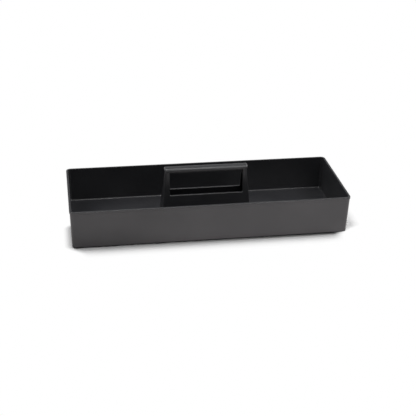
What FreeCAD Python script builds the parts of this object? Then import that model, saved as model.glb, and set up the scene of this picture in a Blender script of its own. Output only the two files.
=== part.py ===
"""Open tool caddy: a long drafted tray with a hollow A-shaped carrying handle in its middle.

Millimetres, +X along the tray, +Z up. The origin is the middle of the footprint, on the table.
"""
import FreeCAD, Part
import math
import os

# Tray
tray_length = 300.0
tray_width = 108.0
tray_height = 43.2
tray_wall = 1.8
tray_draft = 1.5
tray_corner_radius = 5.0
cavity_corner_radius = 3.0
floor_thickness = 2.3
floor_fillet = 1.5
base_edge_radius = 0.6
rim_bead_height = 2.2
rim_bead_depth = 0.45
rim_edge_radius = 0.6

# Foot ring round the underside, set in from the tray's lower edge and standing below it
foot_drop = 1.2
foot_height = 2.4
foot_inset = 2.0
foot_width = 4.0
foot_corner_radius = 3.0

# Hollow handle frame, sizes over the outside of its lower and upper ends
handle_base_length = 99.4
handle_base_depth = 29.0
handle_top_length = 89.4
handle_top_depth = 8.8
handle_height = 55.7
handle_wall = 2.3
handle_corner_radius = 2.0
post_width = 4.5
post_head_height = 7.0
window_sill_height = 29.5
window_corner_radius = 1.2
window_edge_radius = 0.5
rail_setback = 1.4
rail_height = 2.3

# Locating pad on the tray floor, inside the lower end of the handle
pad_height = 2.0
pad_clearance = 0.2

# Grip that caps the handle
grip_thickness = 3.4
grip_end_overhang = 0.9
grip_side_overhang = 0.6
grip_edge_radius = 3.0
grip_end_radius = 1.2
grip_skirt_height = 1.2
grip_skirt_radius = 0.5
grip_clearance = 0.1
grip_peg_diameter = 2.2
grip_peg_length = 4.0

# Screws that hold the handle, set in from its outer faces, and the bosses they bite into
screw_inset_x = 6.2
screw_inset_y = 8.3
screw_diameter = 3.0
screw_length = 10.0
screw_tip_length = 1.5
screw_head_diameter = 5.6
screw_head_height = 2.0
screw_head_edge = 0.9
screw_clearance = 0.2
thread_clearance = 0.05
counterbore_depth = 2.4
boss_diameter = 6.6
boss_height = 13.0
boss_web = 1.6

# Levels and outlines that follow from the sizes above
floor_z = foot_height + floor_thickness
pad_z = floor_z + pad_height
handle_top_z = floor_z + handle_height
sill_z = floor_z + window_sill_height
screw_seat_z = foot_height + counterbore_depth
window_width = handle_top_length - 2 * post_width
rail_depth = handle_top_depth - 2 * rail_setback
grip_depth = handle_top_depth + 2 * grip_side_overhang
tray_inset_per_mm = math.tan(math.radians(tray_draft))
wall_rim_length = tray_length - 2 * rim_bead_depth
wall_rim_width = tray_width - 2 * rim_bead_depth
reach = tray_length + tray_width


def rounded_rectangle(length, width, radius, z):
    """Closed wire round the Z axis: four sides joined by four quarter arcs."""
    x, y = length / 2, width / 2
    middle = radius * (1 - math.sqrt(0.5))
    edges = []
    for side_x, side_y in ((1, 1), (-1, 1), (-1, -1), (1, -1)):
        on_end = FreeCAD.Vector(side_x * x, side_y * (y - radius), z)
        on_arc = FreeCAD.Vector(side_x * (x - middle), side_y * (y - middle), z)
        on_side = FreeCAD.Vector(side_x * (x - radius), side_y * y, z)
        corner = (on_end, on_arc, on_side) if side_x == side_y else (on_side, on_arc, on_end)
        edges.append(Part.Arc(*corner).toShape())
    corners = list(edges)
    for first, second in zip(corners, corners[1:] + corners[:1]):
        edges.append(Part.makeLine(first.lastVertex(True).Point, second.firstVertex(True).Point))
    return Part.Wire(Part.__sortEdges__(edges))


def prism(length, width, radius, low, high):
    """Upright block with rounded corners, between two levels."""
    face = Part.Face(rounded_rectangle(length, width, radius, low))
    return face.extrude(FreeCAD.Vector(0, 0, high - low))


def tapered(sections):
    """Solid with straight sides through rounded rectangles given as (length, width, radius, z)."""
    return Part.makeLoft([rounded_rectangle(*section) for section in sections], True, True)


def pyramid(sections):
    """Square-cornered wedge with flat sides, between two rectangles given as (length, width, z)."""
    (low_length, low_width, low), (high_length, high_width, high) = sections
    wedge = Part.makeWedge(-low_length / 2, low, -low_width / 2, -high_width / 2, -high_length / 2,
                           low_length / 2, high, low_width / 2, high_width / 2, high_length / 2)
    wedge.rotate(FreeCAD.Vector(0, 0, 0), FreeCAD.Vector(1, 0, 0), 90)
    return wedge


def block(length, width, low, high):
    """Square-cornered block centred on the Z axis, between two levels."""
    corner = FreeCAD.Vector(-length / 2, -width / 2, low)
    return Part.makeBox(length, width, high - low, corner)


def edges_at(shape, z):
    """Edges of a shape that lie at one level."""
    return [e for e in shape.Edges if max(abs(e.BoundBox.ZMin - z), abs(e.BoundBox.ZMax - z)) < 1e-4]


def screw_places():
    """Middles of the four screws, in plan."""
    x = handle_base_length / 2 - screw_inset_x
    y = handle_base_depth / 2 - screw_inset_y
    return [FreeCAD.Vector(side_x * x, side_y * y, 0) for side_x in (-1, 1) for side_y in (-1, 1)]


def tray_section(z, inset, rim_radius):
    """Outline of the tray wall at a level, drawn in by an inset from the outer face and by the draft."""
    draft = (tray_height - z) * tray_inset_per_mm
    drawn_in = inset + draft
    return (wall_rim_length - 2 * drawn_in, wall_rim_width - 2 * drawn_in, rim_radius - draft, z)


def handle_section(z, inset):
    """Outline of the handle at a level, drawn in by an inset from the outer face."""
    share = (z - floor_z) / handle_height
    length = handle_base_length + (handle_top_length - handle_base_length) * share
    depth = handle_base_depth + (handle_top_depth - handle_base_depth) * share
    return (length - 2 * inset, depth - 2 * inset, z)


def make_tray():
    """Tray with its rim bead, foot ring, locating pad and screw holes."""
    wall_radius = tray_corner_radius - rim_bead_depth
    walls = [tray_section(z, 0, wall_radius) for z in (foot_drop, tray_height)]
    outer = tapered(walls)
    base_corner = walls[0][2]
    outer = outer.makeFillet(min(base_edge_radius, 0.9 * base_corner), edges_at(outer, foot_drop))
    bead_z = tray_height - rim_bead_height
    rim = (tray_length, tray_width, tray_corner_radius)
    bead_foot = tray_section(bead_z - rim_bead_depth, 0, wall_radius)
    bead = tapered([bead_foot, (*rim, bead_z), (*rim, tray_height)])
    bead = bead.makeFillet(rim_edge_radius, edges_at(bead, tray_height))

    hollow = [tray_section(z, tray_wall, cavity_corner_radius) for z in (floor_z, tray_height)]
    cavity = tapered(hollow)
    floor_corner = hollow[0][2]
    cavity = cavity.makeFillet(min(floor_fillet, 0.9 * floor_corner), edges_at(cavity, floor_z))
    pad = pyramid([handle_section(z, handle_wall + pad_clearance) for z in (floor_z, pad_z)])

    foot, recess = [prism(*tray_section(foot_drop, inset, wall_radius)[:2], foot_corner_radius, 0, foot_height)
                    for inset in (foot_inset, foot_inset + foot_width)]
    tray = outer.fuse(bead).fuse(foot).cut(cavity).cut(recess).fuse(pad)
    head_hole = screw_head_diameter / 2 + screw_clearance
    shank_hole = screw_diameter / 2 + screw_clearance
    for place in screw_places():
        tray = tray.cut(Part.makeCylinder(head_hole, screw_seat_z, place))
        tray = tray.cut(Part.makeCylinder(shank_hole, reach, place))
    return tray.removeSplitter()


def make_boss(place):
    """Screw boss on two webs that run out to the end wall and to the panel beside it."""
    top = pad_z + boss_height
    at_base = place + FreeCAD.Vector(0, 0, pad_z)
    boss = Part.makeCylinder(boss_diameter / 2, boss_height, at_base)
    to_end = Part.makeBox(reach, boss_web, boss_height, FreeCAD.Vector(0, -boss_web / 2, 0))
    to_panel = Part.makeBox(boss_web, reach, boss_height, FreeCAD.Vector(-boss_web / 2, 0, 0))
    if place.x < 0:
        to_end.translate(FreeCAD.Vector(-reach, 0, 0))
    if place.y < 0:
        to_panel.translate(FreeCAD.Vector(0, -reach, 0))
    for web in (to_end, to_panel):
        web.translate(at_base)
        boss = boss.fuse(web)
    return boss.common(pyramid([handle_section(z, handle_wall / 2) for z in (floor_z, top)]))


def window_rim(frame, inset):
    """Edges where the window breaks through the panels' faces that lie at an inset from the outside."""
    found = []
    for edge in frame.Edges:
        middle = edge.valueAt((edge.FirstParameter + edge.LastParameter) / 2)
        off_panel = abs(middle.y) - handle_section(middle.z, inset)[1] / 2
        in_window = abs(middle.x) < window_width / 2 + 1e-3 and sill_z - 1e-3 < middle.z < handle_top_z - 1e-3
        if in_window and abs(off_panel) < 1e-3:
            found.append(edge)
    return found


def make_handle_frame():
    """Hollow A-shaped shell, open below, with a window through both panels and a rail across the top."""
    head_z = handle_top_z - post_head_height
    shell = pyramid([handle_section(z, 0) for z in (floor_z, handle_top_z)])
    corners = [e for e in shell.Edges if e.BoundBox.ZLength > handle_height / 2]
    shell = shell.makeFillet(handle_corner_radius, corners)
    shell = shell.cut(pyramid([handle_section(z, handle_wall) for z in (floor_z, head_z)]))

    opening_height = 2 * (handle_top_z - sill_z)
    window = Part.Face(rounded_rectangle(window_width, opening_height, window_corner_radius, -reach / 2))
    window = window.extrude(FreeCAD.Vector(0, 0, reach))
    window.rotate(FreeCAD.Vector(0, 0, 0), FreeCAD.Vector(1, 0, 0), 90)
    window.translate(FreeCAD.Vector(0, 0, handle_top_z))
    frame = shell.cut(window)
    frame = frame.makeFillet(window_edge_radius, window_rim(frame, 0) + window_rim(frame, handle_wall))

    rail = block(window_width, rail_depth, handle_top_z - rail_height, handle_top_z)
    frame = frame.fuse(rail)
    for place in screw_places():
        frame = frame.fuse(make_boss(place))
    bore = screw_diameter / 2 + thread_clearance
    for place in screw_places():
        bottom = place + FreeCAD.Vector(0, 0, pad_z)
        depth = screw_seat_z + screw_length + screw_diameter / 2 - pad_z
        frame = frame.cut(Part.makeCylinder(bore, depth, bottom))
    for peg in grip_pegs(grip_clearance / 2, grip_clearance):
        frame = frame.cut(peg)
    return frame.removeSplitter()


def grip_pegs(extra_radius, extra_length):
    """Pegs under the ends of the grip, one into each post head."""
    half_window = window_width / 2
    peg_x = (half_window + handle_top_length / 2) / 2
    length = grip_peg_length + extra_length
    pegs = []
    for x in (-peg_x, peg_x):
        place = FreeCAD.Vector(x, 0, handle_top_z - length)
        pegs.append(Part.makeCylinder(grip_peg_diameter / 2 + extra_radius, length, place))
    return pegs


def along_grip(grip, z):
    """Long edges of the grip at one level."""
    return [e for e in edges_at(grip, z) if e.BoundBox.XLength > window_width / 2]


def make_grip_cap():
    """Rounded grip over the rail: a bar that overhangs the posts, with a skirt between them."""
    top_z = handle_top_z + grip_thickness
    skirt_z = handle_top_z - grip_skirt_height
    length = handle_top_length + 2 * grip_end_overhang
    skirt_length = window_width - 2 * grip_clearance
    grip = block(length, grip_depth, skirt_z, top_z)
    grip = grip.makeFillet(min(grip_edge_radius, 0.45 * grip_depth), along_grip(grip, top_z))
    ends = [e for e in grip.Edges if e.BoundBox.XLength < 1e-4 and e.BoundBox.ZMax > skirt_z + 1e-4]
    grip = grip.makeFillet(grip_end_radius, ends)

    seat_length = length - skirt_length
    for side in (-1, 1):
        seat = block(seat_length, reach, 0, handle_top_z)
        seat.translate(FreeCAD.Vector(side * length / 2, 0, 0))
        grip = grip.cut(seat)
    grip = grip.makeFillet(grip_skirt_radius, along_grip(grip, skirt_z))
    grip = grip.cut(block(reach, rail_depth + 2 * grip_clearance, 0, handle_top_z))
    for peg in grip_pegs(0, 0):
        grip = grip.fuse(peg)
    return grip.removeSplitter()


def make_screw(place):
    """Pan-head self-tapping screw, head down, turned from one profile."""
    head_r, shank_r = screw_head_diameter / 2, screw_diameter / 2
    tip_z = screw_length - screw_tip_length
    profile = [(0, -screw_head_height), (head_r - screw_head_edge, -screw_head_height),
               (head_r, screw_head_edge - screw_head_height), (head_r, 0), (shank_r, 0),
               (shank_r, tip_z), (shank_r / 3, screw_length), (0, screw_length)]
    points = [FreeCAD.Vector(r, 0, z) for r, z in profile]
    face = Part.Face(Part.makePolygon(points + points[:1]))
    screw = face.revolve(FreeCAD.Vector(0, 0, 0), FreeCAD.Vector(0, 0, 1), 360)
    screw.translate(place + FreeCAD.Vector(0, 0, screw_seat_z))
    return screw


os.makedirs("parts", exist_ok=True)
nodes = {
    "tray": make_tray(),
    "handle_frame": make_handle_frame(),
    "grip_cap": make_grip_cap(),
    "handle_screws": Part.makeCompound([make_screw(place) for place in screw_places()]),
}
for name, shape in nodes.items():
    shape.exportStep(f"parts/{name}.step")
    box = shape.BoundBox
    print(f"{name}: {len(shape.Solids)} solid(s), valid {shape.isValid()}, volume {shape.Volume:.0f} mm3, "
          f"X {box.XMin:.2f}..{box.XMax:.2f} Y {box.YMin:.2f}..{box.YMax:.2f} Z {box.ZMin:.2f}..{box.ZMax:.2f}")
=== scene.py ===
"""Studio scene of an open tool caddy: a drafted tray, a hollow handle, a grip cap and screws.

Metres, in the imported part's own frame: +X along the tray, +Y to the back, +Z up, origin on the
table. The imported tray, handle frame and grip cap keep their shapes and get their plastic here.
The screws and the gate mark are modelled here, and the studio and the camera are set up.
"""
import logging
import math
from collections.abc import Callable
from dataclasses import dataclass
from enum import Enum
from typing import Any

import bpy
from mathutils import Matrix, Vector

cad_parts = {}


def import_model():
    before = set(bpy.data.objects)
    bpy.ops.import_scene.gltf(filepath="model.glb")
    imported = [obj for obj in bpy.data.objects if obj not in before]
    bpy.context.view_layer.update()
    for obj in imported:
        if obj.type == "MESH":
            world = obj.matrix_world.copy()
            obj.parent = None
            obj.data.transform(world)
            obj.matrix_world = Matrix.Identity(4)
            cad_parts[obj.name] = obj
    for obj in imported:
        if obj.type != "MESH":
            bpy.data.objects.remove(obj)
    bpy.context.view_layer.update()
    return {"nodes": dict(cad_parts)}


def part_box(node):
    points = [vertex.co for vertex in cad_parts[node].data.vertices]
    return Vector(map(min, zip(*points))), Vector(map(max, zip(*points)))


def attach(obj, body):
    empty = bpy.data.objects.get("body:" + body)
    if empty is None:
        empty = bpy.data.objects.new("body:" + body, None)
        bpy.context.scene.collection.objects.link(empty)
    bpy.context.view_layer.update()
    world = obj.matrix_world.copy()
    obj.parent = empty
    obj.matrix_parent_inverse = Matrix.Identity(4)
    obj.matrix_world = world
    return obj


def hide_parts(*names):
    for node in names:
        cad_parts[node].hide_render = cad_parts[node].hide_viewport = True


LOG = logging.getLogger("caddy")
ROOT_BODY = "root"
MM_PER_METRE = 1000.0
LEVEL_SLACK = 1e-6  # how far off a height the ends of a level edge may be, in metres
LEVEL_NORMAL = 0.9  # least upright part of a level face's normal
STEEP_SHARE = 0.5  # least share of a body's height that an upright edge rises by

Pair = tuple[float, float]
Point = tuple[float, float, float]
Colour = tuple[float, float, float]
Pieces = dict[str, bpy.types.Object]
Socket = bpy.types.NodeSocket
Outputs = bpy.types.NodeOutputs
Test = Callable[[bpy.types.Mesh, Any], bool]


class Slot(Enum):
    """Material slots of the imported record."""

    TRAY = "tray_plastic"
    SCREW = "screw_steel"


class Node(Enum):
    """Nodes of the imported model."""

    TRAY = "tray"
    HANDLE = "handle_frame"
    GRIP = "grip_cap"
    SCREWS = "handle_screws"


class Element(Enum):
    """Parts of a mesh that are selected in edit mode."""

    EDGE = "EDGE"
    FACE = "FACE"


class Facing(Enum):
    """Ways that a level face looks."""

    DOWN = -1.0
    UP = 1.0


class Cut(Enum):
    """What a boolean modifier does with the other object."""

    JOIN = "UNION"
    CARVE = "DIFFERENCE"


class Blend(Enum):
    """What a mix node blends: its data type, then the numbers of its two inputs and its result."""

    NUMBERS = ("FLOAT", 2, 3, 0)
    COLOURS = ("RGBA", 6, 7, 2)


class End(Enum):
    """Ends of the object, as signs of X."""

    LEFT = -1.0
    RIGHT = 1.0


@dataclass
class NodeGraph:
    """Short way to add linked shader nodes to one node tree."""

    tree: bpy.types.NodeTree

    @classmethod
    def emptied(cls, owner: bpy.types.Material | bpy.types.World) -> "NodeGraph":
        """Start afresh with the nodes of a material or a world.

        Args:
            owner: What the nodes belong to.

        Returns:
            The empty graph.
        """
        owner.use_nodes = True
        owner.node_tree.nodes.clear()
        return cls(owner.node_tree)

    def add(self, kind: str, sockets: dict[Any, Any] | None = None,
            **settings: Any) -> bpy.types.Node:
        """Add one node.

        Args:
            kind: Blender's name of the node type.
            sockets: Input values by socket name or number; an output socket given here is linked.
            settings: Properties of the node itself.

        Returns:
            The new node.
        """
        node = self.tree.nodes.new(kind)
        for name, value in settings.items():
            setattr(node, name, value)
        for key, value in (sockets or {}).items():
            if isinstance(value, bpy.types.NodeSocket):
                self.tree.links.new(value, node.inputs[key])
            else:
                node.inputs[key].default_value = value
        return node

    def coordinates(self, system: str = "Object") -> Socket:
        """Read one system of texture coordinates."""
        return self.add("ShaderNodeTexCoord").outputs[system]

    def axes(self, vector: Socket) -> Outputs:
        """Take a vector apart, axis by axis."""
        return self.add("ShaderNodeSeparateXYZ", {0: vector}).outputs

    def math(self, operation: str, *values: Any, clamp: bool = False) -> Socket:
        """Add a math node.

        Args:
            operation: The node's operation.
            values: Its inputs in order, numbers or output sockets.
            clamp: Whether the result is held between 0 and 1.

        Returns:
            The node's result.
        """
        node = self.add("ShaderNodeMath", dict(enumerate(values)),
                        operation=operation, use_clamp=clamp)
        return node.outputs[0]

    def ramp(self, value: Socket, low: float, high: float,
             out_low: Any = 0.0, out_high: Any = 1.0) -> Socket:
        """Map a value smoothly from one range to another.

        Args:
            value: The value to map.
            low: Where the first range starts.
            high: Where the first range ends.
            out_low: Result at and below low, a number or an output socket.
            out_high: Result at and above high, a number or an output socket.

        Returns:
            The mapped value.
        """
        node = self.add("ShaderNodeMapRange", {
            "Value": value, "From Min": low, "From Max": high,
            "To Min": out_low, "To Max": out_high,
        }, interpolation_type="SMOOTHSTEP")
        return node.outputs["Result"]

    def noise(self, place: Socket, size: float, detail: float = 3.0) -> Socket:
        """Add a noise whose patches are about one size across.

        Args:
            place: Coordinates at which the noise is read.
            size: Width of a patch, in metres.
            detail: Number of finer octaves.

        Returns:
            The noise's value, about 0 to 1.
        """
        node = self.add("ShaderNodeTexNoise",
                        {"Vector": place, "Scale": 1.0 / size, "Detail": detail})
        return node.outputs["Fac"]

    def bump(self, height: Socket, depth: float, strength: float) -> Socket:
        """Turn a pattern into fine relief.

        Args:
            height: The pattern.
            depth: Depth of the relief, in metres.
            strength: Share of it that shows.

        Returns:
            The surface normal.
        """
        node = self.add("ShaderNodeBump",
                        {"Strength": strength, "Distance": depth, "Height": height})
        return node.outputs["Normal"]

    def mix(self, blend: Blend, factor: Socket, first: Any, second: Any) -> Socket:
        """Blend two numbers or two colours.

        Args:
            blend: Which of the two it is.
            factor: 0 for the first, 1 for the second.
            first: The first, a value or an output socket.
            second: The second, a value or an output socket.

        Returns:
            The blended value.
        """
        data_type, one, other, result = blend.value
        node = self.add("ShaderNodeMix", {"Factor": factor, one: first, other: second},
                        data_type=data_type)
        return node.outputs[result]

    def shader(self, kind: str, sockets: dict[Any, Any]) -> Socket:
        """Add a shader node and give its result."""
        return self.add(kind, sockets).outputs[0]

    def mix_shaders(self, factor: Any, first: Socket, second: Socket) -> Socket:
        """Blend two shaders.

        Args:
            factor: 0 for the first, 1 for the second, a number or an output socket.
            first: The first shader.
            second: The second shader.

        Returns:
            The blended shader.
        """
        return self.shader("ShaderNodeMixShader", {0: factor, 1: first, 2: second})

    def mirrored(self, path: Outputs) -> Socket:
        """Tell rays that come off a shiny surface or through a clear one from the rest.

        Args:
            path: Outputs of a light path node.

        Returns:
            1 for glossy and transmission rays, 0 for the rest.
        """
        return self.math("MAXIMUM", path["Is Glossy Ray"], path["Is Transmission Ray"])


@dataclass(frozen=True)
class MouldedPlastic:
    """Black injection-moulded plastic with a spark-eroded grain and a patchy satin sheen.

    Attributes:
        name: Name of the material.
        colour: The black, in linear light.
        colour_spread: Share by which the black varies up and down.
        pigment_patch: Width of a patch of one shade, in metres.
        roughness: Middle of the roughness.
        roughness_spread: How far the roughness varies up and down.
        sheen_patch: Width of a patch of one sheen, in metres.
        sheen_range: Noise values between which the sheen changes.
        patch_detail: Finer octaves in both kinds of patch.
        grain_size: Width of a pit of the grain, in metres.
        grain_softening: Size of the noise that blurs the pits, in pits.
        grain_depth: Depth of the grain, in metres.
        grain_strength: Share of that depth that shows.
        ior: Index of refraction, which sets the gloss.
    """

    name: str
    colour: Colour = (0.0168, 0.0172, 0.0200)
    colour_spread: float = 0.16
    pigment_patch: float = 0.018
    roughness: float = 0.40
    roughness_spread: float = 0.06
    sheen_patch: float = 0.045
    sheen_range: Pair = (0.3, 0.7)
    patch_detail: float = 4.0
    grain_size: float = 0.00042
    grain_softening: float = 1.7
    grain_depth: float = 0.000012
    grain_strength: float = 0.35
    ior: float = 1.78

    def make(self) -> bpy.types.Material:
        """Build the material.

        Returns:
            The finished material.
        """
        material = bpy.data.materials.new(self.name)
        graph = NodeGraph.emptied(material)
        place = graph.coordinates()
        surface = graph.shader("ShaderNodeBsdfPrincipled", {
            "Base Color": self.tint(graph, place),
            "Roughness": self.sheen(graph, place),
            "Normal": self.grain(graph, place),
            "IOR": self.ior,
        })
        graph.add("ShaderNodeOutputMaterial", {"Surface": surface})
        return material

    def tint(self, graph: NodeGraph, place: Socket) -> Socket:
        """Vary the black a little, as pigment does in a moulding.

        Args:
            graph: The material's nodes.
            place: Object coordinates.

        Returns:
            The base colour.
        """
        patches = graph.noise(place, self.pigment_patch, self.patch_detail)
        darker, lighter = ((*(share * part for part in self.colour), 1.0)
                           for share in (1.0 - self.colour_spread, 1.0 + self.colour_spread))
        return graph.mix(Blend.COLOURS, patches, darker, lighter)

    def sheen(self, graph: NodeGraph, place: Socket) -> Socket:
        """Vary the gloss in soft patches.

        Args:
            graph: The material's nodes.
            place: Object coordinates.

        Returns:
            The roughness.
        """
        patches = graph.noise(place, self.sheen_patch, self.patch_detail)
        spread = graph.ramp(patches, *self.sheen_range,
                            -self.roughness_spread, self.roughness_spread)
        return graph.math("ADD", spread, self.roughness, clamp=True)

    def grain(self, graph: NodeGraph, place: Socket) -> Socket:
        """Fine pitted relief that the mould leaves.

        Args:
            graph: The material's nodes.
            place: Object coordinates.

        Returns:
            The surface normal.
        """
        pits = graph.add("ShaderNodeTexVoronoi", {"Vector": place, "Scale": 1.0 / self.grain_size})
        soft = graph.noise(place, self.grain_size * self.grain_softening)
        relief = graph.math("ADD", pits.outputs["Distance"], soft)
        return graph.bump(relief, self.grain_depth, self.grain_strength)


@dataclass(frozen=True)
class ZincPlate:
    """Bright zinc plating on steel, slightly mottled.

    Attributes:
        name: Name of the material.
        colour: The bright patches, in linear light.
        dullness: Brightness of the dull patches, as a share of that colour.
        mottle_size: Width of a patch, in metres.
        mottle_detail: Finer octaves in the patches.
        mottle_range: Noise values between which the roughness changes.
        roughness_range: Roughness at those two values.
        relief_ratio: Size of the fine relief, in patches.
        relief_depth: Depth of that relief, in metres.
        relief_strength: Share of that depth that shows.
    """

    name: str
    colour: Colour = (0.60, 0.61, 0.62)
    dullness: float = 0.82
    mottle_size: float = 0.0007
    mottle_detail: float = 4.0
    mottle_range: Pair = (0.25, 0.75)
    roughness_range: Pair = (0.24, 0.40)
    relief_ratio: float = 0.3
    relief_depth: float = 0.000008
    relief_strength: float = 0.2

    def make(self) -> bpy.types.Material:
        """Build the material.

        Returns:
            The finished material.
        """
        material = bpy.data.materials.new(self.name)
        graph = NodeGraph.emptied(material)
        place = graph.coordinates()
        mottle = graph.noise(place, self.mottle_size, self.mottle_detail)
        dull = (*(self.dullness * part for part in self.colour), 1.0)
        relief = graph.noise(place, self.mottle_size * self.relief_ratio)
        surface = graph.shader("ShaderNodeBsdfPrincipled", {
            "Base Color": graph.mix(Blend.COLOURS, mottle, dull, (*self.colour, 1.0)),
            "Metallic": 1.0,
            "Roughness": graph.ramp(mottle, *self.mottle_range, *self.roughness_range),
            "Normal": graph.bump(relief, self.relief_depth, self.relief_strength),
        })
        graph.add("ShaderNodeOutputMaterial", {"Surface": surface})
        return material


def pick(piece: bpy.types.Object) -> None:
    """Select one object alone and make it the active one.

    Args:
        piece: The object.
    """
    bpy.ops.object.select_all(action="DESELECT")
    piece.select_set(True)
    bpy.context.view_layer.objects.active = piece


class EditMode:
    """Edit mode on one object, with selections made in code."""

    def __init__(self, piece: bpy.types.Object) -> None:
        """Keep the object to edit."""
        self.piece = piece

    def __enter__(self) -> "EditMode":
        """Go into edit mode with only this object selected.

        Returns:
            This edit mode.
        """
        pick(self.piece)
        bpy.ops.object.mode_set(mode="EDIT")
        return self

    def __exit__(self, *problem: object) -> None:
        """Go back to object mode."""
        bpy.ops.object.mode_set(mode="OBJECT")

    def select(self, kind: Element, wanted: Test) -> None:
        """Select the edges or faces that pass a test.

        Args:
            kind: Whether edges or faces are selected.
            wanted: Test that gets the mesh and one element, and says whether it is selected.
        """
        bpy.ops.mesh.select_mode(type=kind.value)
        bpy.ops.mesh.select_all(action="DESELECT")
        bpy.ops.object.mode_set(mode="OBJECT")
        mesh = self.piece.data
        for element in mesh.edges if kind is Element.EDGE else mesh.polygons:
            if wanted(mesh, element):
                element.select = True
        bpy.ops.object.mode_set(mode="EDIT")


def face_looking(way: Facing) -> Test:
    """Test for level faces that look up or down.

    Args:
        way: Which of the two.

    Returns:
        A test for EditMode.select.
    """
    return lambda mesh, face: way.value * face.normal.z > LEVEL_NORMAL


def edge_at_height(z: float) -> Test:
    """Test for edges that lie at one height.

    Args:
        z: The height.

    Returns:
        A test for EditMode.select.
    """
    return lambda mesh, edge: all(abs(mesh.vertices[corner].co.z - z) < LEVEL_SLACK
                                  for corner in edge.vertices)


def edge_upright(height: float) -> Test:
    """Test for edges that run up the side of a body.

    Args:
        height: Height of the body.

    Returns:
        A test for EditMode.select.
    """
    def rises(mesh: bpy.types.Mesh, edge: bpy.types.MeshEdge) -> bool:
        """Say whether an edge climbs most of the body's height."""
        start, end = (mesh.vertices[corner].co.z for corner in edge.vertices)
        return abs(start - end) > STEEP_SHARE * height

    return rises


def apply_modifier(piece: bpy.types.Object, kind: str, **settings: Any) -> None:
    """Add a modifier to a piece and apply it.

    Args:
        piece: The piece.
        kind: Type of the modifier.
        settings: Its settings.
    """
    pick(piece)
    modifier = piece.modifiers.new(kind.title(), kind)
    for name, value in settings.items():
        setattr(modifier, name, value)
    bpy.ops.object.modifier_apply(modifier=modifier.name)


def combine(piece: bpy.types.Object, cut: Cut, other: bpy.types.Object) -> None:
    """Join another object to a piece or carve it out, and delete that object.

    Args:
        piece: The piece.
        cut: What is done with the other object.
        other: The other object.
    """
    apply_modifier(piece, "BOOLEAN", operation=cut.value, solver="EXACT", object=other)
    remove(other)


def new_primitive(name: str, operator: Callable[..., Any], **sizes: Any) -> bpy.types.Object:
    """Add a primitive as the start of a piece.

    Args:
        name: Name of the piece.
        operator: The add operator.
        sizes: What the operator takes.

    Returns:
        The new object, with its place applied to its mesh.
    """
    bpy.ops.object.select_all(action="DESELECT")
    operator(**sizes)
    piece = bpy.context.active_object
    piece.name = piece.data.name = name
    bpy.ops.object.transform_apply(location=True, rotation=True, scale=True)
    return piece


def remove(piece: bpy.types.Object) -> None:
    """Delete a helper object and its mesh."""
    bpy.data.meshes.remove(piece.data)


def smooth(piece: bpy.types.Object, degrees: float) -> None:
    """Shade a piece smooth, except across sharp edges.

    Args:
        piece: The piece.
        degrees: Edges that turn by more stay sharp.
    """
    pick(piece)
    bpy.ops.object.shade_smooth_by_angle(angle=math.radians(degrees))


def dress(piece: bpy.types.Object, material: bpy.types.Material) -> None:
    """Give a piece one material in all its slots.

    Args:
        piece: The piece.
        material: The material.
    """
    if not piece.material_slots:
        piece.data.materials.append(material)
    for holder in piece.material_slots:
        holder.material = material


@dataclass
class TrayMoulding:
    """The drafted tray, and the mark where its mould was filled.

    Attributes:
        finish: Plastic of the tray and the mark.
        recess_z: Height of the recess in the underside.
        gate_sides: Sides of the mark's round outline.
        gate_radius: Radius of the mark.
        gate_height: Height of its lip.
        gate_lip: Width of its lip.
        gate_dish: Depth inside the lip, as a share of the lip's height.
        lip_round: Rounding of the lip, as a share of its height.
        lip_steps: Faces across that rounding.
        nub_radius: Radius of the cut stub at the foot.
        nub_height: Height of the stub.
        nub_taper: Size of the stub's end, as a share of its foot.
        sharp_from: Turn in degrees above which an edge stays sharp.
    """

    finish: MouldedPlastic = MouldedPlastic("tray_black")
    recess_z: float = 0.0024
    gate_sides: int = 40
    gate_radius: float = 0.0040
    gate_height: float = 0.00035
    gate_lip: float = 0.0009
    gate_dish: float = 0.6
    lip_round: float = 0.25
    lip_steps: int = 3
    nub_radius: float = 0.0011
    nub_height: float = 0.00065
    nub_taper: float = 0.8
    sharp_from: float = 35.0

    def build(self, nodes: Pieces) -> None:
        """Dress the tray and add the gate mark to its underside.

        Args:
            nodes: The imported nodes.
        """
        material = self.finish.make()
        dress(nodes[Node.TRAY.value], material)
        LOG.info("%s dressed", Node.TRAY.value)
        mark = self.gate_mark()
        dress(mark, material)
        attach(mark, ROOT_BODY)
        LOG.info("%s is %.1f mm across", mark.name, 2 * MM_PER_METRE * self.gate_radius)

    def gate_mark(self) -> bpy.types.Object:
        """Low ring round the stub that is left where the sprue was cut off.

        Returns:
            The piece, hanging under the recess of the underside.
        """
        low = self.recess_z - self.gate_height
        mark = new_primitive("gate_mark", bpy.ops.mesh.primitive_cylinder_add,
                             vertices=self.gate_sides, radius=self.gate_radius,
                             depth=self.gate_height,
                             location=(0, 0, self.recess_z - self.gate_height / 2))
        with EditMode(mark) as edit:
            edit.select(Element.FACE, face_looking(Facing.DOWN))
            bpy.ops.mesh.inset(thickness=self.gate_lip)
            bpy.ops.transform.translate(value=(0, 0, self.gate_dish * self.gate_height))
            bpy.ops.mesh.inset(thickness=self.gate_radius - self.gate_lip - self.nub_radius)
            bpy.ops.mesh.extrude_region_move(
                TRANSFORM_OT_translate={"value": (0, 0, -self.nub_height)})
            bpy.ops.transform.resize(value=(self.nub_taper, self.nub_taper, 1))
            edit.select(Element.EDGE, edge_at_height(low))
            bpy.ops.mesh.bevel(offset=self.lip_round * self.gate_height, segments=self.lip_steps,
                               affect="EDGES")
        smooth(mark, self.sharp_from)
        return mark


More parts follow.
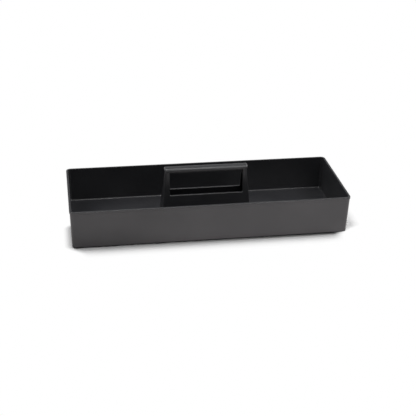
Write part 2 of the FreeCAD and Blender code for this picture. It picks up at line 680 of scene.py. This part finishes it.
@dataclass
class CarryHandle:
    """The hollow A-shaped frame and the rounded grip on it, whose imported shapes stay.

    Attributes:
        frame_finish: Plastic of the frame.
        grip_finish: Plastic of the grip, a little smoother from handling.
    """

    frame_finish: MouldedPlastic = MouldedPlastic("handle_black")
    grip_finish: MouldedPlastic = MouldedPlastic("grip_black", roughness=0.37)

    def build(self, nodes: Pieces) -> None:
        """Dress the frame and the grip.

        Args:
            nodes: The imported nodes.
        """
        for node, finish in ((Node.HANDLE, self.frame_finish), (Node.GRIP, self.grip_finish)):
            dress(nodes[node.value], finish.make())
            LOG.info("%s dressed", node.value)


@dataclass
class HandleScrews:
    """Four self-tapping pan-head screws, head down, with a cross recess and a thread.

    Attributes:
        finish: Plating of the screws.
        turns: Turn of each screw about its axis, in degrees.
        sharp_from: Turn in degrees above which an edge stays sharp.
        head_sides: Sides of the head's round outline.
        head_radius: Radius of the head.
        head_height: Height of the head.
        head_edge: Rounding of the head's outer edge.
        head_steps: Faces across that rounding.
        crown: Height of the head's slight crown.
        crown_inset: Inset of the crown, in roundings of the outer edge.
        seat_edge: Rounding of the edge at the seat, as a share of the outer edge's.
        seat_steps: Faces across that rounding.
        shank_sides: Sides of the shank's round outline.
        shank_radius: Radius at the thread's crest.
        shank_sunk: Depth that the shank goes into the head, as a share of the head's height.
        rings_per_pitch: Rings of points for each turn of the thread.
        thread_depth: Depth of the thread.
        thread_pitch: Rise of the thread in one turn.
        thread_flank: Fall of a tooth's flanks over one pitch, in depths.
        thread_start: Height of the thread's start above the seat, in pitches.
        tip_length: Length of the tapered tip.
        tip_share: Radius of the core at the tip's end, as a share of the core's.
        cross: Turns of the recess's two bars, in degrees.
        arm_length: Length of a bar's cutter at its outer end.
        arm_width: Width of the cutter there.
        arm_taper: Size of the cutter at the recess's floor, as a share of its outer end's.
        arm_round: Rounding of the cutter's upright edges, as a share of its width.
        arm_steps: Faces across that rounding.
        recess_depth: Depth of the recess.
        recess_over: Length of the cutter outside the head, as a share of the head's height.
    """

    finish: ZincPlate = ZincPlate("zinc_plate")
    turns: tuple[float, ...] = (12.0, 71.0, 38.0, 55.0)
    sharp_from: float = 32.0
    head_sides: int = 48
    head_radius: float = 0.0028
    head_height: float = 0.0020
    head_edge: float = 0.0010
    head_steps: int = 6
    crown: float = 0.00015
    crown_inset: float = 1.25
    seat_edge: float = 0.1
    seat_steps: int = 2
    shank_sides: int = 28
    shank_radius: float = 0.0015
    shank_sunk: float = 0.3
    rings_per_pitch: int = 8
    thread_depth: float = 0.00035
    thread_pitch: float = 0.00127
    thread_flank: float = 3.2
    thread_start: float = 0.3
    tip_length: float = 0.0022
    tip_share: float = 0.35
    cross: Pair = (0.0, 90.0)
    arm_length: float = 0.0034
    arm_width: float = 0.00085
    arm_taper: float = 0.45
    arm_round: float = 0.12
    arm_steps: int = 2
    recess_depth: float = 0.0012
    recess_over: float = 0.2

    def build(self) -> None:
        """Model one screw, and put a copy where each packed screw is."""
        low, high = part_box(Node.SCREWS.value)
        seat = low.z + self.head_height
        pattern = self.pattern(high.z - seat)
        x, y = high.x - self.head_radius, high.y - self.head_radius
        places = [Vector((sx * x, sy * y, seat)) for sx in (-1, 1) for sy in (-1, 1)]
        for number, (place, turn) in enumerate(zip(places, self.turns), 1):
            screw = pattern.copy()
            screw.data = pattern.data.copy()
            screw.name = screw.data.name = f"handle_screw_{number}"
            bpy.context.scene.collection.objects.link(screw)
            turned = Matrix.Rotation(math.radians(turn), 4, "Z")
            screw.data.transform(Matrix.Translation(place) @ turned)
            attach(screw, ROOT_BODY)
            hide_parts(Node.SCREWS.value)
            LOG.info("%s has %d faces", screw.name, len(screw.data.polygons))
        remove(pattern)

    def pattern(self, length: float) -> bpy.types.Object:
        """Model the screw that the four are copied from.

        Args:
            length: Length of the shank under the head.

        Returns:
            The dressed screw, with its seat at height 0.
        """
        screw = self.head()
        combine(screw, Cut.JOIN, self.shank(length))
        for degrees in self.cross:
            combine(screw, Cut.CARVE, self.recess_arm(degrees))
        smooth(screw, self.sharp_from)
        dress(screw, self.finish.make())
        return screw

    def head(self) -> bpy.types.Object:
        """Pan head below the seat, rounded and slightly crowned.

        Returns:
            The head, with its seat at height 0.
        """
        flat = self.head_height - self.crown
        head = new_primitive("screw_head", bpy.ops.mesh.primitive_cylinder_add,
                             vertices=self.head_sides, radius=self.head_radius, depth=flat,
                             location=(0, 0, -flat / 2))
        with EditMode(head) as edit:
            edit.select(Element.FACE, face_looking(Facing.DOWN))
            bpy.ops.mesh.inset(thickness=self.crown_inset * self.head_edge)
            bpy.ops.transform.translate(value=(0, 0, -self.crown))
            edit.select(Element.EDGE, edge_at_height(-flat))
            bpy.ops.mesh.bevel(offset=self.head_edge, segments=self.head_steps, affect="EDGES",
                               clamp_overlap=True)
            edit.select(Element.EDGE, edge_at_height(0.0))
            bpy.ops.mesh.bevel(offset=self.seat_edge * self.head_edge, segments=self.seat_steps,
                               affect="EDGES")
        return head

    def shank(self, length: float) -> bpy.types.Object:
        """Threaded shank above the seat, drawn to a blunt tip.

        Args:
            length: Length of the shank under the head.

        Returns:
            The shank, with its lower end sunk into the head.
        """
        sunk = self.shank_sunk * self.head_height
        shank = new_primitive("screw_shank", bpy.ops.mesh.primitive_cylinder_add,
                              vertices=self.shank_sides, radius=self.shank_radius,
                              depth=length + sunk, location=(0, 0, (length - sunk) / 2))
        with EditMode(shank) as edit:
            edit.select(Element.EDGE, edge_upright(length))
            rings = int(self.rings_per_pitch * length / self.thread_pitch)
            bpy.ops.mesh.subdivide(number_cuts=rings)
        for vertex in shank.data.vertices:
            vertex.co.xy = vertex.co.xy.normalized() * self.thread_radius(vertex.co, length)
        return shank

    def thread_radius(self, point: Vector, length: float) -> float:
        """Radius of the threaded surface.

        Args:
            point: A point on the shank.
            length: Length of the shank under the head.

        Returns:
            The radius there, between the thread's root and its crest.
        """
        climbed = point.z / self.thread_pitch
        turn = climbed - math.atan2(point.y, point.x) / math.tau
        from_crest = abs(turn % 1.0 - 0.5)
        tooth = max(0.0, 1.0 - self.thread_flank * from_crest)
        run_in = min(1.0, max(0.0, climbed - self.thread_start))
        to_tip = min(1.0, max(0.0, (length - point.z) / self.tip_length))
        core = self.shank_radius - self.thread_depth
        root = core * (self.tip_share + (1.0 - self.tip_share) * to_tip)
        return root + self.thread_depth * tooth * run_in * math.sqrt(to_tip)

    def recess_arm(self, degrees: float) -> bpy.types.Object:
        """Tapered cutter for one bar of the cross recess.

        Args:
            degrees: Turn of the bar about the screw's axis.

        Returns:
            The cutter.
        """
        bottom = -(1.0 + self.recess_over) * self.head_height
        depth = self.recess_depth + self.recess_over * self.head_height
        arm = new_primitive("recess_arm", bpy.ops.mesh.primitive_cube_add, size=1.0,
                            location=(0, 0, bottom + depth / 2),
                            rotation=(0, 0, math.radians(degrees)),
                            scale=(self.arm_length, self.arm_width, depth))
        with EditMode(arm) as edit:
            edit.select(Element.FACE, face_looking(Facing.UP))
            bpy.ops.transform.resize(value=(self.arm_taper, self.arm_taper, 1))
            edit.select(Element.EDGE, edge_upright(depth))
            bpy.ops.mesh.bevel(offset=self.arm_round * self.arm_width, segments=self.arm_steps,
                               affect="EDGES")
        return arm


@dataclass(frozen=True)
class FloorPlan:
    """Places on the floor, measured from the object that stands on it.

    Attributes:
        graph: Nodes of the floor's material.
        axes: Object coordinates, axis by axis.
        half_length: Half length of the object.
        half_width: Half width of the object.
    """

    graph: NodeGraph
    axes: Outputs
    half_length: float
    half_width: float

    def outward(self, axis: str, half: float) -> Socket:
        """Measure how far out a place lies along one axis, below 0 within the object."""
        return self.graph.math("SUBTRACT", self.graph.math("ABSOLUTE", self.axes[axis]), half)

    def from_edge(self) -> Socket:
        """Measure how far out from the object's edge a place lies, below 0 under the object."""
        return self.graph.math("MAXIMUM", self.outward("X", self.half_length),
                               self.outward("Y", self.half_width))

    def lengthwise(self, values: Pair, stop: float) -> Socket:
        """Change from one value to another along the object.

        Args:
            values: The value at the left end, and the value where the change stops.
            stop: Where that is, in half lengths from the middle.

        Returns:
            The value.
        """
        return self.graph.ramp(self.axes["X"], -self.half_length, stop * self.half_length, *values)


@dataclass(frozen=True)
class ShadowEnd:
    """Where the floor's shadow stops at one end of the object.

    Attributes:
        end: Which end.
        fade: How much faster than along the sides the shadow fades past this end.
        middle: Y at which the shadow reaches furthest.
        widths: Distances from that middle between which the outline draws back.
        insets: How far inside the end of the object the outline lies at those distances.
    """

    end: End
    fade: float
    middle: float
    widths: Pair
    insets: Pair

    def past(self, plan: FloorPlan) -> Socket:
        """Measure how far a place lies past this end of the shadow.

        Args:
            plan: Places on the floor.

        Returns:
            The distance, stretched by the faster fade, and 0 before the end.
        """
        graph = plan.graph
        off = graph.math("ABSOLUTE", graph.math("SUBTRACT", plan.axes["Y"], self.middle))
        stops = (plan.half_length - inset for inset in self.insets)
        outline = graph.ramp(off, *self.widths, *stops)
        along = graph.math("MULTIPLY", plan.axes["X"], self.end.value)
        past = graph.math("SUBTRACT", along, outline)
        return graph.math("MAXIMUM", graph.math("MULTIPLY", past, self.fade), 0.0)


@dataclass(frozen=True)
class StudioFloor:
    """White floor that keeps the shadow round the object and is plain white further off.

    Attributes:
        size: Side of the square floor.
        carried: Grey of the floor in the light that it throws back on the object.
        shown: Grey of the floor where the camera sees the shadow.
        shadow_fade: Distance over which the shadow gives way to plain white.
        ends: Left and right end of the shadow.
        painted_contact_shadow: Painted shadow on the floor under the object's edge: share of the
            grey left there, at its left and right end.
        painted_contact_reach: Distances from that edge between which that painted shadow fades and
            the grey comes back.
        mirrored_shadow: Share of the shadow in what shiny surfaces mirror.
        mirrored_reach: Distances from the shadow between which the mirrored white dims.
        mirrored_far: Level of the mirrored white beyond them.
        mirrored_painted_dark_under: Distances from the edge between which the mirrored white
            starts, a painted shadow under the object in what shiny surfaces mirror.
        mirrored_painted_near_shade: Its level beside the edge, at the left end and from the middle
            on, a painted shade on the mirrored floor near the edge, deepest at the left.
        mirrored_grow: Distances from the edge between which that painted shade gives way to the
            full level.
        mirrored_painted_side_shade: Its full level at the left and right end, a painted shade that
            dims the mirrored floor towards the left.
        mirrored_tint: Its colour.
    """

    size: float = 12.0
    carried: float = 0.80
    shown: float = 0.95
    shadow_fade: float = 0.022
    ends: tuple[ShadowEnd, ShadowEnd] = (
        ShadowEnd(End.LEFT, 2.3, -0.027, (0.019, 0.040), (0.002, 0.018)),
        ShadowEnd(End.RIGHT, 1.6, -0.010, (0.024, 0.046), (-0.007, 0.018)),
    )
    # Painted shadow under the object's edge: none at the left end, darkest at the right end.
    painted_contact_shadow: Pair = (1.0, 0.25)
    painted_contact_reach: Pair = (-0.0010, 0.0020)
    mirrored_shadow: float = 0.2
    mirrored_reach: Pair = (0.25, 0.80)
    mirrored_far: float = 0.35
    # Painted shade in the mirrored floor: under and near the object's edge, and towards the left
    # end.
    mirrored_painted_dark_under: Pair = (-0.0012, 0.0008)
    mirrored_painted_near_shade: Pair = (0.5, 1.0)
    mirrored_grow: Pair = (0.0, 0.05)
    mirrored_painted_side_shade: Pair = (0.85, 1.0)
    mirrored_tint: Colour = (1.0, 0.94, 0.95)

    def build(self, footprint: Pair) -> None:
        """Lay the floor.

        Args:
            footprint: Half length and half width of what stands on it.
        """
        floor = new_primitive("studio_floor", bpy.ops.mesh.primitive_plane_add, size=self.size)
        dress(floor, self.material(footprint))
        LOG.info("%s laid", floor.name)

    def material(self, footprint: Pair) -> bpy.types.Material:
        """Tell apart what the camera sees, what shiny surfaces mirror and what lights the object.

        Args:
            footprint: Half length and half width of what stands on the floor.

        Returns:
            The material.
        """
        material = bpy.data.materials.new("studio_white")
        graph = NodeGraph.emptied(material)
        plan = FloorPlan(graph, graph.axes(graph.coordinates()), *footprint)
        away, edge = self.from_shadow(plan), plan.from_edge()
        seen = self.seen(plan, away, edge)
        grey = (self.carried, self.carried, self.carried, 1.0)
        carried = graph.shader("ShaderNodeBsdfDiffuse", {"Color": grey})
        path = graph.add("ShaderNodeLightPath").outputs
        straight = graph.mix_shaders(path["Is Camera Ray"], carried, seen)
        glow = graph.shader("ShaderNodeEmission", {
            "Color": (*self.mirrored_tint, 1.0),
            "Strength": self.mirrored_level_with_painted_shade(plan, away, edge),
        })
        mirrored = graph.mix_shaders(self.mirrored_shadow, glow, seen)
        surface = graph.mix_shaders(graph.mirrored(path), straight, mirrored)
        graph.add("ShaderNodeOutputMaterial", {"Surface": surface})
        return material

    def from_shadow(self, plan: FloorPlan) -> Socket:
        """Measure how far a place lies outside the shadow's outline.

        Args:
            plan: Places on the floor.

        Returns:
            The distance, 0 within the outline.
        """
        graph = plan.graph
        left, right = (end.past(plan) for end in self.ends)
        beside = graph.math("MAXIMUM", plan.outward("Y", plan.half_width), 0.0)
        left, right, beside = (graph.math("MULTIPLY", gap, gap) for gap in (left, right, beside))
        return graph.math("SQRT", graph.math("ADD", graph.math("ADD", left, right), beside))

    def seen(self, plan: FloorPlan, away: Socket, edge: Socket) -> Socket:
        """Floor round the object with the lamps' shadow, plus a painted shadow under the object's
        edge that deepens towards the right end, and white further off.

        Args:
            plan: Places on the floor.
            away: Distance from the shadow's outline.
            edge: Distance from the object's edge.

        Returns:
            The shader that the camera sees.
        """
        graph = plan.graph
        # Painted shadow: darken the floor's grey under the object's edge, not at all at the left
        # end and down to a quarter at the right end.
        shade = plan.lengthwise(self.painted_contact_shadow, 1.0)
        painted_shadow_grey = graph.ramp(edge, *self.painted_contact_reach, shade, 1.0)
        grey = graph.math("MULTIPLY", painted_shadow_grey, self.shown)
        lit = graph.shader("ShaderNodeBsdfDiffuse", {"Color": grey})
        white = graph.shader("ShaderNodeEmission", {"Strength": 1.0})
        return graph.mix_shaders(graph.ramp(away, 0.0, self.shadow_fade), lit, white)

    def mirrored_level_with_painted_shade(self, plan: FloorPlan, away: Socket, edge: Socket) -> Socket:
        """Level of the white that shiny surfaces mirror, with painted shade: dark under the edge,
        dimmer near it and towards the left, and dimmer far off.

        Args:
            plan: Places on the floor.
            away: Distance from the shadow's outline.
            edge: Distance from the object's edge.

        Returns:
            The level, at most 1.
        """
        graph = plan.graph
        far = graph.ramp(away, *self.mirrored_reach, 1.0, self.mirrored_far)
        # Painted shade in the mirrored floor: dark under the object's edge, dimmer near it at the
        # left, and dimmer towards the left end.
        start = graph.ramp(edge, *self.mirrored_painted_dark_under)
        painted_near_level = plan.lengthwise(self.mirrored_painted_near_shade, 0.0)
        grown = graph.math("MULTIPLY", start, graph.ramp(edge, *self.mirrored_grow, painted_near_level, 1.0))
        full = graph.math("MULTIPLY", grown, plan.lengthwise(self.mirrored_painted_side_shade, 1.0))
        return graph.math("MULTIPLY", far, full)


@dataclass(frozen=True)
class StudioAir:
    """Dim pale light from all round, white where the camera looks past the floor.

    Attributes:
        ambient: Strength of the light on the object.
        mirrored_ambient: Strength of what shiny surfaces mirror, except low at the back.
        horizon: Angles above level, in degrees, between which the mirrored white at the back ends.
        back: Y parts of a direction between which that white starts.
    """

    ambient: float = 0.025
    mirrored_ambient: float = 0.06
    horizon: Pair = (3.0, 35.0)
    back: Pair = (0.0, 0.6)

    def build(self) -> None:
        """Make the scene's world."""
        world = bpy.data.worlds.new("studio_air")
        bpy.context.scene.world = world
        graph = NodeGraph.emptied(world)
        path = graph.add("ShaderNodeLightPath").outputs
        axes = graph.axes(graph.coordinates("Generated"))
        heights = (math.sin(math.radians(angle)) for angle in self.horizon)
        low = graph.ramp(axes["Z"], *heights, 1.0, 0.0)
        backdrop = graph.math("MULTIPLY", low, graph.ramp(axes["Y"], *self.back))
        sky = graph.ramp(backdrop, 0.0, 1.0, self.mirrored_ambient, 1.0)
        unseen = graph.mix(Blend.NUMBERS, graph.mirrored(path), self.ambient, sky)
        strength = graph.math("MAXIMUM", unseen, path["Is Camera Ray"])
        background = graph.shader("ShaderNodeBackground",
                                  {"Color": (1.0, 1.0, 1.0, 1.0), "Strength": strength})
        graph.add("ShaderNodeOutputWorld", {"Surface": background})
        LOG.info("%s set", world.name)


@dataclass(frozen=True)
class SoftLamp:
    """Rectangular soft lamp that faces a point.

    Attributes:
        name: Name of the lamp.
        place: Where its middle hangs.
        power: Its power, in watts.
        faces: The point that it faces.
        size: Width and height of its face.
    """

    name: str
    place: Point
    power: float
    faces: Point = (0.0, 0.0, 0.02)
    size: Pair = (0.35, 0.35)

    def build(self) -> None:
        """Hang the lamp up and turn it to its point."""
        data = bpy.data.lights.new(self.name, type="AREA")
        data.shape = "RECTANGLE"
        data.size, data.size_y = self.size
        data.energy = self.power
        lamp = bpy.data.objects.new(self.name, data)
        aim = Vector(self.faces) - Vector(self.place)
        turn = aim.to_track_quat("-Z", "Y").to_matrix().to_4x4()
        lamp.matrix_world = Matrix.Translation(self.place) @ turn
        bpy.context.scene.collection.objects.link(lamp)
        LOG.info("%s hung", self.name)


@dataclass
class Studio:
    """White floor, dim pale surroundings and soft lamps.

    Attributes:
        floor: The floor.
        air: The surroundings.
        lamps: The lamps.
    """

    floor: StudioFloor = StudioFloor()
    air: StudioAir = StudioAir()
    lamps: tuple[SoftLamp, ...] = (
        SoftLamp("overhead_lamp", (-0.02, 0.05, 0.60), 0.92, (-0.02, 0.05, 0.0), (0.36, 0.16)),
        SoftLamp("front_top_softbox", (0.08, -0.40, 0.75), 0.80, size=(0.40, 0.30)),
        SoftLamp("near_front_fill", (0.24, -0.45, 0.42), 0.36, (0.08, 0.05, 0.02), (0.20, 0.16)),
        SoftLamp("left_back_softbox", (-0.68, 0.34, 0.98), 3.0),
        SoftLamp("right_back_softbox", (0.89, 0.51, 0.72), 4.0),
        SoftLamp("left_side_softbox", (-0.80, 0.00, 0.96), 2.9),
        SoftLamp("right_side_softbox", (0.80, 0.00, 0.96), 3.4),
    )

    def build(self, footprint: Pair) -> None:
        """Build the floor, the surroundings and the lamps.

        Args:
            footprint: Half length and half width of what stands on the floor.
        """
        self.floor.build(footprint)
        self.air.build()
        for lamp in self.lamps:
            lamp.build()


@dataclass
class PhotoCamera:
    """Camera at the photograph's viewing angle, for a square picture.

    Attributes:
        name: Name of the camera.
        lens: Focal length, in millimetres.
        sensor: Width of the sensor, in millimetres.
        yaw: Turn from +Y towards +X, in degrees.
        pitch: Tilt below level, in degrees.
        roll: Turn about the line of sight, in degrees.
        target: Point in the middle of the picture.
        distance: How far from that point the camera stands.
    """

    name: str = "photo_camera"
    lens: float = 79.951
    sensor: float = 36.0
    yaw: float = 10.198
    pitch: float = 27.554
    roll: float = 1.558
    target: Point = (0.00717, 0.02012, 0.0012)
    distance: float = 1.05194

    def build(self) -> None:
        """Make the camera and set it as the scene's own."""
        yaw, pitch, roll = (math.radians(angle) for angle in (self.yaw, self.pitch, self.roll))
        ahead = Vector((math.sin(yaw) * math.cos(pitch), math.cos(yaw) * math.cos(pitch),
                        -math.sin(pitch)))
        level = Vector((math.cos(yaw), -math.sin(yaw), 0.0))
        rise = level.cross(ahead)
        right = level * math.cos(roll) + rise * math.sin(roll)
        up = rise * math.cos(roll) - level * math.sin(roll)
        data = bpy.data.cameras.new(self.name)
        data.lens = self.lens
        data.sensor_width = self.sensor
        camera = bpy.data.objects.new(self.name, data)
        axes = Matrix((right, up, -ahead)).transposed().to_4x4()
        place = Vector(self.target) - ahead * self.distance
        camera.matrix_world = Matrix.Translation(place) @ axes
        bpy.context.scene.collection.objects.link(camera)
        bpy.context.scene.camera = camera
        LOG.info("%s set", self.name)


def main() -> None:
    """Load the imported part, dress it, add the fine pieces and set the studio up."""
    logging.basicConfig(level=logging.INFO, format="%(name)s: %(message)s")
    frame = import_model()
    bpy.context.scene.view_settings.view_transform = "Standard"
    nodes = frame["nodes"]
    _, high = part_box(Node.TRAY.value)
    PhotoCamera().build()
    TrayMoulding().build(nodes)
    CarryHandle().build(nodes)
    HandleScrews().build()
    Studio().build((high.x, high.y))


if __name__ == "__main__":
    main()
